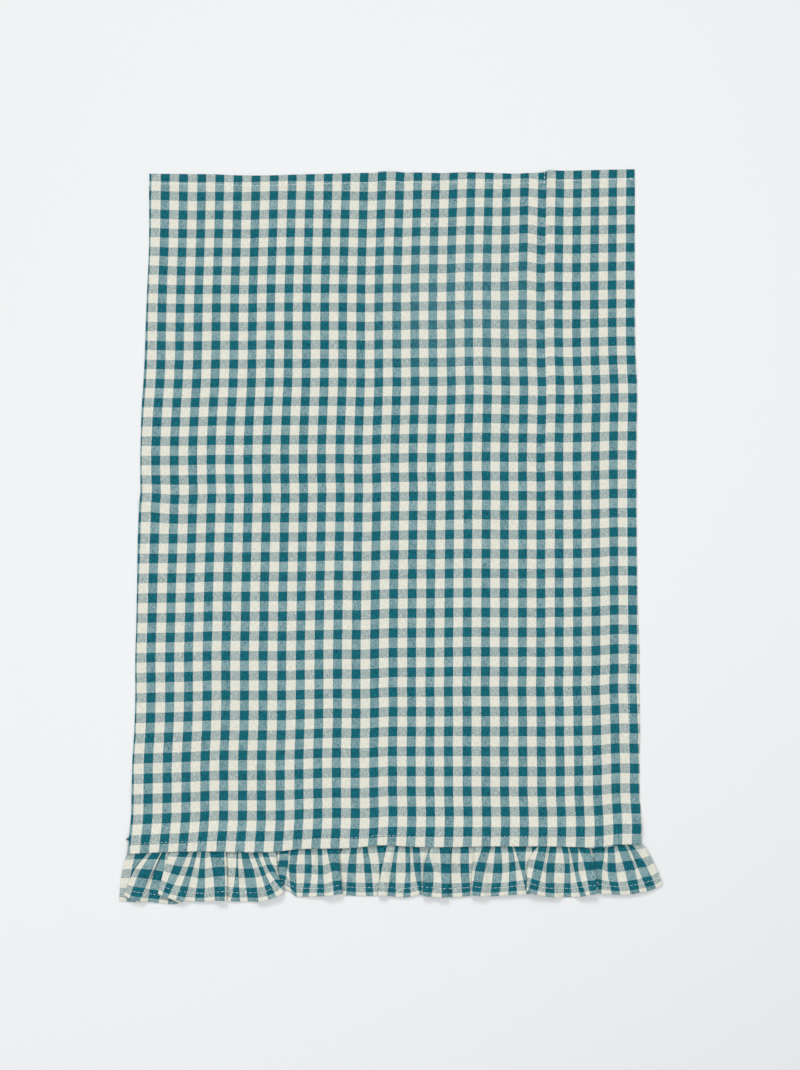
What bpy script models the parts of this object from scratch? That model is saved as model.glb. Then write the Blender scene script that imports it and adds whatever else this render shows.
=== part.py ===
# A checked tea towel lying flat: a hemmed cotton panel with a gathered ruffle under its lower hem.
# Metres, +Z up. Origin: middle of the footprint, on the surface that the towel lies on.
# +Y runs from the ruffle to the plain top edge, +X to the right as seen from above.
import bpy
import math
from collections import namedtuple

MM = 0.001

# The panel's four corners as it lies, x and y in millimetres.
TOP_LEFT = (-238.0, 350.5)
TOP_RIGHT = (239.3, 355.0)
BOTTOM_LEFT = (-249.4, -308.0)
BOTTOM_RIGHT = (236.8, -298.8)

# How each hemmed edge wanders off the straight line between its corners, in millimetres.
# Columns: distance along the edge, distance outwards.
TOP_EDGE = (
    (0, 0.0), (65, -0.6), (96, -2.2), (150, -1.9), (215, 0.0), (237, 0.9),
    (258, -1.0), (290, -1.9), (365, -2.5), (391, -0.6), (430, 0.0), (477, 0.0),
)
LEFT_EDGE = (
    (0, 0.0), (76, -2.3), (126, -1.2), (234, 0.4), (273, -0.6), (312, -1.3),
    (334, -0.1), (400, -0.9), (437, -1.5), (540, -2.5), (627, -2.4), (658, 0.0),
)
RIGHT_EDGE = (
    (0, 0.0), (120, -1.0), (258, -0.4), (346, -1.2), (423, -1.0),
    (519, 0.5), (566, -0.6), (604, -0.4), (632, 0.8), (654, 0.0),
)
BOTTOM_EDGE = (
    (0, 0.0), (68, -1.0), (144, 0.4), (154, -0.7), (211, -1.4), (246, -3.4),
    (262, -2.0), (353, -0.3), (419, 1.4), (448, 3.1), (464, 0.9), (486, 0.0),
)

# Cloth, in millimetres. The hems are the same cloth turned twice, so they are thicker.
FIELD_THICKNESS = 1.0
HEM_THICKNESS = 1.6
HEM_WIDTH = 9.5
HEM_STEP = 1.0

# Soft ridges where the panel does not lie quite flat, in millimetres.
# Each runs from its start, where it is highest, and fades towards its end.
Ridge = namedtuple("Ridge", "start_x start_y end_x end_y half_width height")
PANEL_RIDGES = (
    Ridge(0, 352, -6, 268, 22, 1.6),
    Ridge(150, 352, 116, 190, 17, 2.4),
    Ridge(-142, 350, -150, 286, 24, 1.2),
    Ridge(-243, 24, -130, 18, 15, 2.0),
    Ridge(237, -196, 176, -190, 18, 1.4),
    Ridge(-247, -250, -186, -258, 20, 1.3),
)

# The panel's lower hem lies on the gathers of the ruffle, in millimetres.
GATHER_CLEARANCE = 0.4
LOWER_BAND = 11.0
LOWER_SLOPE = 26.0

# The ruffle, in millimetres.
TUCKED_UNDER = 8.0
LAYER_PITCH = 1.9
GATHER_PITCH = 10.0
GATHER_HEIGHT = 1.7
SEAM_TURN = 1.0
TOP_HOLD = 2.0
TOP_FALL = 9.0
PUFF = 0.25

# Shares of the ruffle's depth in which the gathers turn into pleats, and in which a pleat's two
# folds grow round as they cross.
PLEAT_START = 0.14
ROUNDING = 0.2

# The ruffle's turned ends at its hem, x and y in millimetres.
RUFFLE_LEFT_END = (-257.3, -351.8)
RUFFLE_RIGHT_END = (257.3, -338.2)

# The ruffle's main pleats from left to right, in millimetres. Each is an S in the cloth: the edge
# is its upper fold, the tuck its lower fold, and "over" says which side's cloth lies on top.
# The lift is the height of the top layer; the sag is how far the hem hangs down after the pleat.
Pleat = namedtuple("Pleat", "over edge_seam_x edge_hem_x edge_y tuck_seam_x tuck_hem_x tuck_y lift sag")
PLEATS = (
    Pleat("right", -228.9, -251.4, -346.7, -231.3, -237.3, -353.7, 4.8, 2.2),
    Pleat("right", -203.0, -219.2, -345.4, -205.7, -198.5, -355.0, 5.0, 4.3),
    Pleat("left", -156.6, -154.5, -351.4, -154.0, -164.9, -350.0, 4.8, 8.0),
    Pleat("left", -114.2, -100.4, -340.2, -111.0, -120.5, -337.0, 5.0, 6.5),
    Pleat("left", -50.2, -45.8, -345.2, -46.4, -57.5, -345.4, 4.8, 1.6),
    Pleat("right", -2.2, -12.6, -345.8, -4.8, -5.3, -346.3, 4.8, 2.9),
    Pleat("right", 37.1, 29.8, -346.5, 32.4, 36.1, -345.4, 4.8, 0.3),
    Pleat("left", 55.2, 53.7, -348.3, 57.8, 45.5, -346.3, 4.8, 2.0),
    Pleat("right", 82.2, 76.6, -346.1, 79.3, 89.5, -345.4, 4.8, 3.8),
    Pleat("right", 139.9, 128.9, -343.1, 128.7, 155.2, -340.7, 5.0, 6.5),
    Pleat("left", 186.2, 195.3, -341.6, 196.0, 179.8, -341.6, 4.8, 5.6),
)

# Grid steps of the two sheets.
PANEL_COLUMNS = 27
PANEL_ROWS = 36
STRETCH_STEP = 4.8
TURN_STEPS = 3
RUFFLE_ROWS = (0.0, 0.07, 0.14, 0.22, 0.34, 0.55, 0.78, 1.0)

CLOTH_COLOUR = (0.246, 0.381, 0.386, 1.0)
CLOTH_ROUGHNESS = 0.9


def clear_scene():
    for thing in list(bpy.data.objects):
        bpy.data.objects.remove(thing, do_unlink=True)


def smooth_step(value):
    value = min(max(value, 0.0), 1.0)
    return value * value * (3.0 - 2.0 * value)


def mix(start, end, share):
    return tuple(a + (b - a) * share for a, b in zip(start, end))


def slope_at(rows, index):
    before = rows[max(index - 1, 0)]
    after = rows[min(index + 1, len(rows) - 1)]
    return (after[1] - before[1]) / (after[0] - before[0])


# A smooth curve through an edge table: the value at a distance along the edge.
def read_table(rows, distance):
    index = max(i for i in range(len(rows) - 1) if rows[i][0] <= distance or i == 0)
    here, there = rows[index], rows[index + 1]
    span = there[0] - here[0]
    t = min(max((distance - here[0]) / span, 0.0), 1.0)
    value = (2 * t ** 3 - 3 * t ** 2 + 1) * here[1] + (3 * t ** 2 - 2 * t ** 3) * there[1]
    value += (t ** 3 - 2 * t ** 2 + t) * span * slope_at(rows, index)
    value += (t ** 3 - t ** 2) * span * slope_at(rows, index + 1)
    return value


# A point on a hemmed edge; side is 1 or -1, whichever way is outwards.
def edge_point(start, end, table, side, share):
    along = (end[0] - start[0], end[1] - start[1])
    length = math.hypot(*along)
    away = read_table(table, share * table[-1][0]) * side
    x = start[0] + along[0] * share - along[1] / length * away
    y = start[1] + along[1] * share + along[0] / length * away
    return (x, y)


# The panel's place at a share of its width and length: the surface that its four edges span.
def panel_point(across, down):
    top = edge_point(TOP_LEFT, TOP_RIGHT, TOP_EDGE, 1, across)
    bottom = edge_point(BOTTOM_LEFT, BOTTOM_RIGHT, BOTTOM_EDGE, -1, across)
    left = edge_point(TOP_LEFT, BOTTOM_LEFT, LEFT_EDGE, -1, down)
    right = edge_point(TOP_RIGHT, BOTTOM_RIGHT, RIGHT_EDGE, 1, down)
    top_line = mix(TOP_LEFT, TOP_RIGHT, across)
    bottom_line = mix(BOTTOM_LEFT, BOTTOM_RIGHT, across)
    corners = mix(top_line, bottom_line, down)
    ends = mix(top, bottom, down)
    sides = mix(left, right, across)
    return (ends[0] + sides[0] - corners[0], ends[1] + sides[1] - corners[1])


def ridge_lift(x, y, ridge):
    run = (ridge.end_x - ridge.start_x, ridge.end_y - ridge.start_y)
    length = math.hypot(*run)
    from_start = (x - ridge.start_x, y - ridge.start_y)
    along = (from_start[0] * run[0] + from_start[1] * run[1]) / length
    across = (from_start[0] * run[1] - from_start[1] * run[0]) / length
    beside = smooth_step(1.0 - abs(across) / ridge.half_width)
    beyond = smooth_step(1.0 - along / length)
    before = smooth_step(1.0 + along / ridge.half_width)
    return ridge.height * beside * beyond * before


# How high the panel's underside is: flat on the surface but for its ridges and its lower band.
def panel_lift(x, y, down):
    from_seam = (1.0 - down) * LEFT_EDGE[-1][0]
    band = 1.0 - smooth_step((from_seam - LOWER_BAND) / LOWER_SLOPE)
    gather_top = FIELD_THICKNESS + GATHER_HEIGHT + GATHER_CLEARANCE
    ridges = sum(ridge_lift(x, y, ridge) for ridge in PANEL_RIDGES)
    return band * gather_top + (1.0 - band) * ridges


# Grid lines as shares of a length: each hem's own lines, and even steps between the two hems.
def grid_shares(length, steps):
    hem = [0.0, HEM_WIDTH / length, (HEM_WIDTH + HEM_STEP) / length]
    inner = [hem[2] + (1.0 - 2.0 * hem[2]) * i / steps for i in range(1, steps)]
    return hem + inner + [1.0 - share for share in reversed(hem)]


def sheet_object(name, rows, collection, thickness, offset):
    mesh = bpy.data.meshes.new(name)
    count = len(rows[0])
    points = [(x * MM, y * MM, z * MM) for row in rows for x, y, z in row]
    faces = []
    for r in range(len(rows) - 1):
        for c in range(count - 1):
            first = r * count + c
            faces.append((first, first + count, first + count + 1, first + 1))
    mesh.from_pydata(points, [], faces)
    mesh.update()
    sheet = bpy.data.objects.new(name, mesh)
    collection.objects.link(sheet)
    shell = sheet.modifiers.new("cloth thickness", "SOLIDIFY")
    shell.thickness = thickness * MM
    shell.offset = offset
    return sheet


# The panel's underside is modelled, and the cloth's thickness goes upwards from it.
def build_panel(collection):
    width, length = TOP_EDGE[-1][0], LEFT_EDGE[-1][0]
    rows, thickness_shares = [], []
    for down in grid_shares(length, PANEL_ROWS):
        row = []
        for across in grid_shares(width, PANEL_COLUMNS):
            x, y = panel_point(across, down)
            row.append((x, y, panel_lift(x, y, down)))
            from_side = min(across, 1.0 - across) * width
            from_end = min(down, 1.0 - down) * length
            in_hem = min(from_side, from_end) < HEM_WIDTH + HEM_STEP / 2
            thickness_shares.append(1.0 if in_hem else FIELD_THICKNESS / HEM_THICKNESS)
        rows.append(row)
    panel = sheet_object("towel_panel", rows, collection, HEM_THICKNESS, 1.0)
    group = panel.vertex_groups.new(name="thickness")
    for index, share in enumerate(thickness_shares):
        group.add([index], share, "REPLACE")
    panel.modifiers["cloth thickness"].vertex_group = group.name


# A line down the ruffle: where it leaves the seam, and where it reaches the hem. The bulge is how
# far it stands out sideways at a fold, below the share of the depth where a pleat's folds cross.
Fold = namedtuple("Fold", "seam_x hem_x hem_y height bulge crossing")


# Half a turn of the cloth round a fold, from its lower layer to its upper one.
def turn(seam_x, hem_x, hem_y, low, side, bulge_side, crossing):
    points = []
    for step in range(TURN_STEPS + 1):
        angle = math.pi * step / TURN_STEPS
        spread = side * SEAM_TURN * (step / TURN_STEPS - 0.5)
        height = low + LAYER_PITCH * (1.0 - math.cos(angle)) / 2
        bulge = bulge_side * LAYER_PITCH * math.sin(angle) / 2
        points.append(Fold(seam_x + spread, hem_x, hem_y, height, bulge, crossing))
    return points


# One pleat, left to right: the tuck's turn and the edge's turn, in the order that its side asks for.
def pleat_folds(pleat):
    side = 1 if pleat.over == "right" else -1
    floor = FIELD_THICKNESS / 2
    middle = pleat.lift - LAYER_PITCH
    apart_at_seam = abs(pleat.edge_seam_x - pleat.tuck_seam_x)
    across_at_hem = abs(pleat.edge_hem_x - pleat.tuck_hem_x)
    crossing = apart_at_seam / (apart_at_seam + across_at_hem)
    tuck = turn(pleat.tuck_seam_x, pleat.tuck_hem_x, pleat.tuck_y, floor, side, side, crossing)
    edge = turn(pleat.edge_seam_x, pleat.edge_hem_x, pleat.edge_y, middle, side, -side, crossing)
    folds = tuck + edge
    return folds if side == 1 else folds[::-1]


# How high the cloth lies at a place on the hem: on top of a pleat until it is past its tuck, and
# on the surface beyond.
def stretch_height(hem_x, before, after):
    floor = FIELD_THICKNESS / 2
    heights = [floor]
    if before and before.over == "right":
        past = hem_x - before.tuck_hem_x - TOP_HOLD
        heights.append(before.lift - (before.lift - floor) * smooth_step(past / TOP_FALL))
    if after and after.over == "left":
        past = after.tuck_hem_x - TOP_HOLD - hem_x
        heights.append(after.lift - (after.lift - floor) * smooth_step(past / TOP_FALL))
    return max(heights)


# The cloth between two pleats, with the sag of its hem.
def stretch(start, end, before, after):
    count = max(2, round(math.dist(start[1:3], end[1:3]) / STRETCH_STEP))
    sag = before.sag if before else 0.0
    folds = []
    for step in range(1, count):
        middle = Fold(*mix(start, end, step / count))
        hem_y = middle.hem_y - sag * math.sin(math.pi * step / count)
        height = stretch_height(middle.hem_x, before, after)
        folds.append(Fold(middle.seam_x, middle.hem_x, hem_y, height, 0.0, 0.0))
    return folds


# All of the ruffle from its left end to its right end.
def ruffle_folds():
    floor = FIELD_THICKNESS / 2
    folds = [Fold(BOTTOM_LEFT[0], *RUFFLE_LEFT_END, floor, 0.0, 0.0)]
    right_end = Fold(BOTTOM_RIGHT[0], *RUFFLE_RIGHT_END, floor, 0.0, 0.0)
    before = None
    for pleat in PLEATS:
        next_folds = pleat_folds(pleat)
        folds += stretch(folds[-1], next_folds[0], before, pleat) + next_folds
        before = pleat
    return folds + stretch(folds[-1], right_end, before, None) + [right_end]


def ruffle_point(fold, share, seam):
    x, y, _ = mix(seam, (fold.hem_x, fold.hem_y, fold.height), share)
    settled = smooth_step(share / PLEAT_START)
    z = seam[2] + (fold.height - seam[2]) * settled
    puff = PUFF * math.sin(math.pi * share) * (fold.height - FIELD_THICKNESS / 2) / LAYER_PITCH
    rounded = smooth_step((share - fold.crossing) / ROUNDING + 0.5)
    return (x + fold.bulge * rounded, y, z + puff)


# The ruffle's middle surface: gathers under the panel's hem, pleats below it.
def build_ruffle(collection):
    folds = ruffle_folds()
    start_x, end_x = BOTTOM_LEFT[0], BOTTOM_RIGHT[0]
    seam = []
    for fold in folds:
        share = (fold.seam_x - start_x) / (end_x - start_x)
        x, y = edge_point(BOTTOM_LEFT, BOTTOM_RIGHT, BOTTOM_EDGE, -1, share)
        wave = 0.5 - 0.5 * math.cos(2 * math.pi * (x - start_x) / GATHER_PITCH)
        seam.append((x, y, FIELD_THICKNESS / 2 + GATHER_HEIGHT * wave))
    rows = [[(x, y + TUCKED_UNDER, z) for x, y, z in seam]]
    for share in RUFFLE_ROWS:
        rows.append([ruffle_point(fold, share, point) for fold, point in zip(folds, seam)])
    sheet_object("ruffle", rows, collection, FIELD_THICKNESS, 0.0)


def cloth_material(name):
    material = bpy.data.materials.new(name)
    material.use_nodes = True
    shader = material.node_tree.nodes["Principled BSDF"]
    shader.inputs["Base Color"].default_value = CLOTH_COLOUR
    shader.inputs["Roughness"].default_value = CLOTH_ROUGHNESS
    shader.inputs["Metallic"].default_value = 0.0
    material.diffuse_color = CLOTH_COLOUR
    return material


def main():
    clear_scene()
    collection = bpy.data.collections.new("tea towel")
    bpy.context.scene.collection.children.link(collection)
    build_panel(collection)
    build_ruffle(collection)
    for piece in collection.objects:
        piece.data.shade_smooth()
        piece.data.materials.append(cloth_material(piece.name + " cotton"))


main()
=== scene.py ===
import math
import bpy
import numpy as np
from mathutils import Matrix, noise


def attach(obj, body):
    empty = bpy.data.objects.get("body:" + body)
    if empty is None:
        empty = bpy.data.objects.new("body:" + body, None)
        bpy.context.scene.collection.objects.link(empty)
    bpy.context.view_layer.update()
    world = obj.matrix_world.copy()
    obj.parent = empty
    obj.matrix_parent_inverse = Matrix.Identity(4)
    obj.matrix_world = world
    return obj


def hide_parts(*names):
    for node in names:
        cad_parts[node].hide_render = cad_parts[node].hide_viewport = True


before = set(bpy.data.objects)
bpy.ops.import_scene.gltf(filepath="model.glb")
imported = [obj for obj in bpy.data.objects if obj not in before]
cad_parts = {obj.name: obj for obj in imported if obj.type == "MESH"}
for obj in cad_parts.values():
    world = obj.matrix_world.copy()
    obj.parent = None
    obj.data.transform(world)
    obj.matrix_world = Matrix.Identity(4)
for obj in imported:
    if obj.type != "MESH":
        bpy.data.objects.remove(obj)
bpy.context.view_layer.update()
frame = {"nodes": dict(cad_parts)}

mm = 0.001
print("frame loaded:", ", ".join(frame["nodes"]))

view = {
    "lens": 50.0,  # mm
    "sensor": 36.0,  # mm, the photograph's long side
    "distance": 1433.0,  # mm from the towel's middle
    "tilt": 4.5,  # degrees that the camera leans back from straight down
    "centreX": 8.65,  # mm, where the middle of the picture falls on the towel
    "centreY": -5.5,
}

studio = {
    "floorColour": "#F0F2F3",
    "floorHalf": 6.0,  # m
    "ambientColour": "#FAFBFB",
    "ambient": 0.23,
    # soft boxes: place in m, side in m, power in W
    "softBoxes": {
        "key": ((-0.5, 2.3, 2.4), 1.1, 49.0),
        "leftFill": ((-0.76, -0.66, 1.5), 1.2, 11.6),
        "rightFill": ((0.8, 0.0, 1.5), 1.2, 8.6),
    },
}


def toLinear(hexColour):
    # from the sRGB that a colour picker shows
    parts = [int(hexColour[i:i + 2], 16) / 255 for i in (1, 3, 5)]
    return tuple(p / 12.92 if p <= 0.04045 else ((p + 0.055) / 1.055) ** 2.4 for p in parts) + (1.0,)


def addObject(name, data):
    added = bpy.data.objects.new(name, data)
    bpy.context.scene.collection.objects.link(added)
    return added


def setSocket(tree, socket, value):
    # value is a constant, or an output to link from
    if isinstance(value, bpy.types.NodeSocket):
        tree.links.new(value, socket)
    else:
        socket.default_value = value


def addNode(tree, kind, settings=None, **inputs):
    # an input is named with _ for each space, or by its number as in0, in1 and so on
    node = tree.nodes.new(kind)
    for name, value in (settings or {}).items():
        setattr(node, name, value)
    for name, value in inputs.items():
        numbered = name.startswith("in") and name[2:].isdigit()
        setSocket(tree, node.inputs[int(name[2:]) if numbered else name.replace("_", " ")], value)
    return node


def newMaterial(name, roughness, specular, sheen=0.0):
    material = bpy.data.materials.new(name)
    material.use_nodes = True
    shader = material.node_tree.nodes["Principled BSDF"]
    shader.inputs["Roughness"].default_value = roughness
    shader.inputs["Specular IOR Level"].default_value = specular
    shader.inputs["Sheen Weight"].default_value = sheen
    return material, shader


def placeCamera():
    tilt = math.radians(view["tilt"])
    camera = addObject("camera", bpy.data.cameras.new("camera"))
    camera.data.sensor_fit = "VERTICAL"
    camera.data.sensor_height = view["sensor"]
    camera.data.lens = view["lens"]
    camera.location = (view["centreX"] * mm,
                       (view["centreY"] - view["distance"] * math.sin(tilt)) * mm,
                       view["distance"] * math.cos(tilt) * mm)
    camera.rotation_euler = (tilt, 0.0, 0.0)
    bpy.context.scene.camera = camera


def softBox(name, place, size, power):
    # a square lamp that looks at the towel's middle
    lamp = bpy.data.lights.new(name, "AREA")
    lamp.shape = "SQUARE"
    lamp.size = size
    lamp.energy = power
    box = addObject(name, lamp)
    box.location = place
    box.rotation_euler = (-box.location).to_track_quat("-Z", "Y").to_euler()


def paperMaterial():
    # seamless paper backdrop: matt, pale and even
    material, shader = newMaterial("seamlessPaper", roughness=0.85, specular=0.2)
    shader.inputs["Base Color"].default_value = toLinear(studio["floorColour"])
    return material


def setStudio():
    world = bpy.data.worlds.new("studio")
    bpy.context.scene.world = world
    world.use_nodes = True
    background = world.node_tree.nodes["Background"]
    background.inputs["Color"].default_value = toLinear(studio["ambientColour"])
    background.inputs["Strength"].default_value = studio["ambient"]
    for name, box in studio["softBoxes"].items():
        softBox(name + "SoftBox", *box)
    half = studio["floorHalf"]
    corners = [(-half, -half, 0), (half, -half, 0), (half, half, 0), (-half, half, 0)]
    mesh = bpy.data.meshes.new("floor")
    mesh.from_pydata(corners, [], [(0, 1, 2, 3)])
    mesh.materials.append(paperMaterial())
    floor = addObject("floor", mesh)
    settings = bpy.context.scene.view_settings
    settings.view_transform = "Standard"
    settings.look = "None"


placeCamera()
setStudio()
print("camera and studio set")

cloth = {
    "thickness": 0.42,  # mm, plain weave cotton
    "hemGap": 0.64,  # mm between the middles of a hem's two layers
    "lowest": 0.03,  # mm that its underside stays clear of the floor
    "turnSteps": 4,
    "repeatAcross": 17.7,  # mm of cloth for one dark and one cream stripe
    "repeatDown": 18.8,
}

# distances in from a hemmed edge where the grid has its own lines, mm. The last one is where the hem
# ends and the third from the end is where it is stitched; the panel's seam over the ruffle is
# stitched one line nearer the edge.
panelHem = (0.0, 0.5, 1.3, 2.8, 4.8, 6.8, 8.2, 8.9, 9.6, 10.4, 11.0)
ruffleHem = (0.0, 0.5, 1.3, 2.8, 4.4, 5.9, 6.9, 7.7, 8.4, 9.0)


def smoothStep(value):
    value = np.clip(value, 0.0, 1.0)
    return value * value * (3.0 - 2.0 * value)


def reached(value, start, over):
    # 0 up to start, then smoothly to 1 over that much more
    return smoothStep((value - start) / over)


def cubic(t, span, start, end, startSlope, endSlope):
    # from start to end over span, as t goes from 0 to 1, with these slopes at the two ends
    return ((2 * t ** 3 - 3 * t ** 2 + 1) * start + (t ** 3 - 2 * t ** 2 + t) * span * startSlope
            + (3 * t ** 2 - 2 * t ** 3) * end + (t ** 3 - t ** 2) * span * endSlope)


def smoothTable(rows, at):
    # a smooth curve through rows of (place, value)
    place = np.array([row[0] for row in rows], float)
    value = np.array([row[1] for row in rows], float)
    slope = np.gradient(value, place)
    at = np.clip(at, place[0], place[-1])
    i = np.clip(np.searchsorted(place, at, side="right") - 1, 0, len(place) - 2)
    span = place[i + 1] - place[i]
    return cubic((at - place[i]) / span, span, value[i], value[i + 1], slope[i], slope[i + 1])


def unitVectors(vectors):
    return vectors / np.maximum(np.linalg.norm(vectors, axis=-1, keepdims=True), 1e-9)


def surfaceNormals(points):
    return unitVectors(np.cross(np.gradient(points, axis=0), np.gradient(points, axis=1)))


def turnedRows(lines, normals, checkStep):
    # lines[0] is the edge and the others lie further in, each point an x, y, z, u, v; returns the rows
    # beyond the edge: a half turn and then the cloth under the hem
    edge, edgeCheck = lines[0][:, :3], lines[0][:, 3:]
    outward = unitVectors(edge - lines[1][:, :3])
    radius = cloth["hemGap"] / 2
    rows = []
    for step in range(1, cloth["turnSteps"] + 1):
        angle = math.pi * step / cloth["turnSteps"]
        place = edge - normals[0] * radius * (1 - math.cos(angle)) + outward * radius * math.sin(angle)
        rows.append(np.hstack([place, edgeCheck + checkStep * radius * angle]))
    for line, normal in zip(lines[1:], normals[1:]):
        inward = np.linalg.norm(line[:, :3] - edge, axis=1, keepdims=True)
        place = line[:, :3] - normal * cloth["hemGap"]
        rows.append(np.hstack([place, edgeCheck + checkStep * (radius * math.pi + inward)]))
    return rows


def clothMesh(name, points, uv, turned, hem):
    # turned names the sides with a hem. The grid gets extra rows and columns for what is folded
    # under; nothing is folded twice at a corner.
    inner = len(hem)
    extra = cloth["turnSteps"] + inner - 1
    count = points.shape[:2]
    grids = np.concatenate([points, uv], axis=2), surfaceNormals(points)
    full = np.full((count[0] + 2 * extra, count[1] + 2 * extra, 5), np.nan)
    full[extra:-extra, extra:-extra] = grids[0]
    first = inner if "top" in turned else 0
    last = count[0] - inner if "bottom" in turned else count[0]
    # each side: is it a column, which way its lines run in from the edge, the check's step outwards
    down, along = np.array([0.0, 1 / cloth["repeatDown"]]), np.array([1 / cloth["repeatAcross"], 0.0])
    sides = {"top": (0, 1, -down), "bottom": (0, -1, down), "left": (1, 1, -along), "right": (1, -1, along)}
    for side in turned:
        isColumn, inward, step = sides[side]
        here = [grid[first:last].swapaxes(0, 1) for grid in grids] if isColumn else grids
        for k, row in enumerate(turnedRows(*[grid[::inward][:inner] for grid in here], step)):
            at = extra - 1 - k if inward > 0 else extra + count[isColumn] + k
            full[np.s_[extra + first:extra + last, at] if isColumn else np.s_[at, extra:-extra]] = row
    there = ~np.isnan(full[..., 0])
    index = np.full(there.shape, -1)
    index[there] = np.arange(there.sum())
    corners = np.stack([index[:-1, :-1], index[1:, :-1], index[1:, 1:], index[:-1, 1:]], axis=-1)
    faces = corners[(corners >= 0).all(axis=-1)]
    mesh = bpy.data.meshes.new(name)
    mesh.from_pydata((full[there][:, :3] * mm).tolist(), [], faces.tolist())
    mesh.update()
    vertexOfLoop = np.zeros(len(mesh.loops), np.int32)
    mesh.loops.foreach_get("vertex_index", vertexOfLoop)
    check = full[there][vertexOfLoop, 3:].astype(np.float32)
    mesh.uv_layers.new(name="check").data.foreach_set("uv", check.ravel())
    mesh.shade_smooth()
    piece = addObject(name, mesh)
    shell = piece.modifiers.new("cloth thickness", "SOLIDIFY")
    shell.thickness = cloth["thickness"] * mm
    shell.offset = 0.0
    return piece


panel = {
    "topLeft": (-237.5, 350.0),
    "topRight": (239.1, 354.5),
    "bottomLeft": (-248.9, -307.8),
    "bottomRight": (236.6, -298.6),
    "gridStep": 3.7,
    "besideHem": (1.4, 3.2),  # mm past each hem where the grid has lines of its own
    "leastStep": 0.4,  # in grid steps: no other line comes nearer to one of the tuck's
    "hemRise": 3.0,  # mm over which the cloth climbs on to its hem
    "stitchPull": 0.14,  # mm that the stitching draws the hem together
    "stitchGroove": 0.9,  # mm, half width of the groove that this leaves
    "seamSunk": 0.2,  # mm that the thread sinks into the seam, and into the side hems
    "sideSunk": 0.03,
    # small unevenness: the noise's size and the height, mm, and its seed
    "puckers": (4.5, 0.12, 6.0),
    "puckerReach": 5.0,  # mm to both sides of the stitching
    "waves": ((62.0, 0.16, 3.0), (21.0, 0.07, 9.0)),
    "gathers": (9.0, 0.22, 5.0),
    "gatherShape": 0.3,  # width to length
    "tuck": (151.2, 12.0, 1.1),  # the small tuck in the top hem: x, length, height, mm
    "tuckSides": (6.0, 0.8),  # mm, width of its slopes to the left and right
    "tuckLean": 0.012,  # mm sideways for each mm below the y that follows
    "tuckTop": 340.0,
    "tuckFade": 1.3,
    "tuckLines": (-5.0, -3.2, -1.6, -0.6, 0.0, 0.35, 0.7, 1.5, 3.2),
    "tuckThreads": (3, 6),  # which of those lines the thread end at the tuck follows, and the dark yarn laid in its fold as a painted shadow
    "gatherLift": 2.75,  # mm, underside of the lower hem where it lies on the ruffle's gathers
    "lowerBand": (11.0, 24.0),  # mm from the seam that lie up there, and over which it comes down
    "checkStart": (-0.8775, -0.1132),  # the check at the top left corner, in repeats
    "checkSpan": (27.1277, 35.2475),
    "columnTilt": (0.0334, -0.0179),  # the columns' lean: growing to the right, and everywhere
    "rowStretch": -0.3918,
    "rowTilt": (-0.0531, 0.0913),
}

# distance along each edge and how far it wanders outwards, mm
topEdge = (
    (0, 0), (40, -0.7), (65, -1.2), (80, -2.2), (96, -3.1), (112, -2.9), (150, -2.1), (180, -1.6),
    (215, -0.9), (237, 0.1), (250, -1.2), (262, -1.2), (290, -2), (310, -1.4), (325, -1.6),
    (345, -2.7), (365, -3.25), (372.5, -2.75), (381, -3.14), (386.5, -3.12), (389.4, -2.52),
    (391, -1.1), (398, -0.45), (404, -0.75), (413, -0.9), (421, -0.75), (429, -0.55), (447, -0.3),
    (465, -0.1), (477, 0),
)
leftEdge = (
    (0, 0), (76, -2.3), (120, -1.7), (150, -1.4), (180, -1.4), (205, -1), (234, 0.1), (255, 0),
    (273, -0.1), (300, -0.8), (312, -1.3), (334, -0.4), (400, -0.8), (437, -1.3), (475, -1.4), (512, -2.6),
    (540, -2.6), (575, -1.6), (600, -2), (627, -1.9), (658, 0),
)
rightEdge = (
    (0, 0), (120, -1), (190, -0.5), (210, 0.3), (240, 0.2), (258, -0.2), (346, -1.1), (423, -1),
    (450, -0.4), (490, 0.3), (505, -0.2), (519, 0.1), (535, 0.05), (556, -0.35), (580, -0.4), (604, -0.7),
    (632, 0.5), (654, 0),
)
bottomEdge = (
    (0, 0), (30, -0.8), (68, -1), (144, 0.4), (154, -0.7), (211, -1.4), (246, -3.4),
    (262, -2), (353, -0.3), (419, 1.4), (448, 3.1), (464, 0.9), (486, 0),
)

# soft ridges in the panel: start x, y, end x, y, half width, height, all mm
panelRidges = (
    (0, 352, -6, 268, 20, 1.3),
    (150, 352, 116, 190, 14, 2.2),
    (-142, 350, -150, 286, 22, 1),
    (-243, 24, -130, 18, 11, 1.9),
    (237, -196, 176, -190, 16, 1.2),
    (-247, -250, -186, -258, 18, 1.1),
)

# how the woven rows bow across the panel, in repeats: share of the width, then the bow at each of
# the shares down the length that rowBowDown names
rowBowDown = (0.08, 0.35, 0.72, 0.91)
rowBow = (
    (0, -0.02, 0.01, -0.06, -0.11), (0.11, -0.06, 0, -0.075, -0.1), (0.18, 0.01, 0.08, -0.005, -0.015),
    (0.26, 0.06, 0.12, 0.02, 0.025), (0.33, 0.005, 0.025, -0.08, -0.07),
    (0.41, -0.06, -0.015, -0.075, -0.04), (0.48, -0.14, -0.115, -0.165, -0.145),
    (0.55, -0.04, -0.02, -0.065, -0.06), (0.63, 0.015, 0.02, -0.025, -0.045),
    (0.7, 0.05, 0.035, -0.04, -0.085), (0.77, 0.015, 0.03, -0.035, -0.085),
    (0.85, -0.04, -0.03, -0.055, -0.08), (0.92, -0.035, 0.015, 0.04, 0.04),
    (1, -0.04, -0.05, -0.05, -0.07),
)

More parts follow.
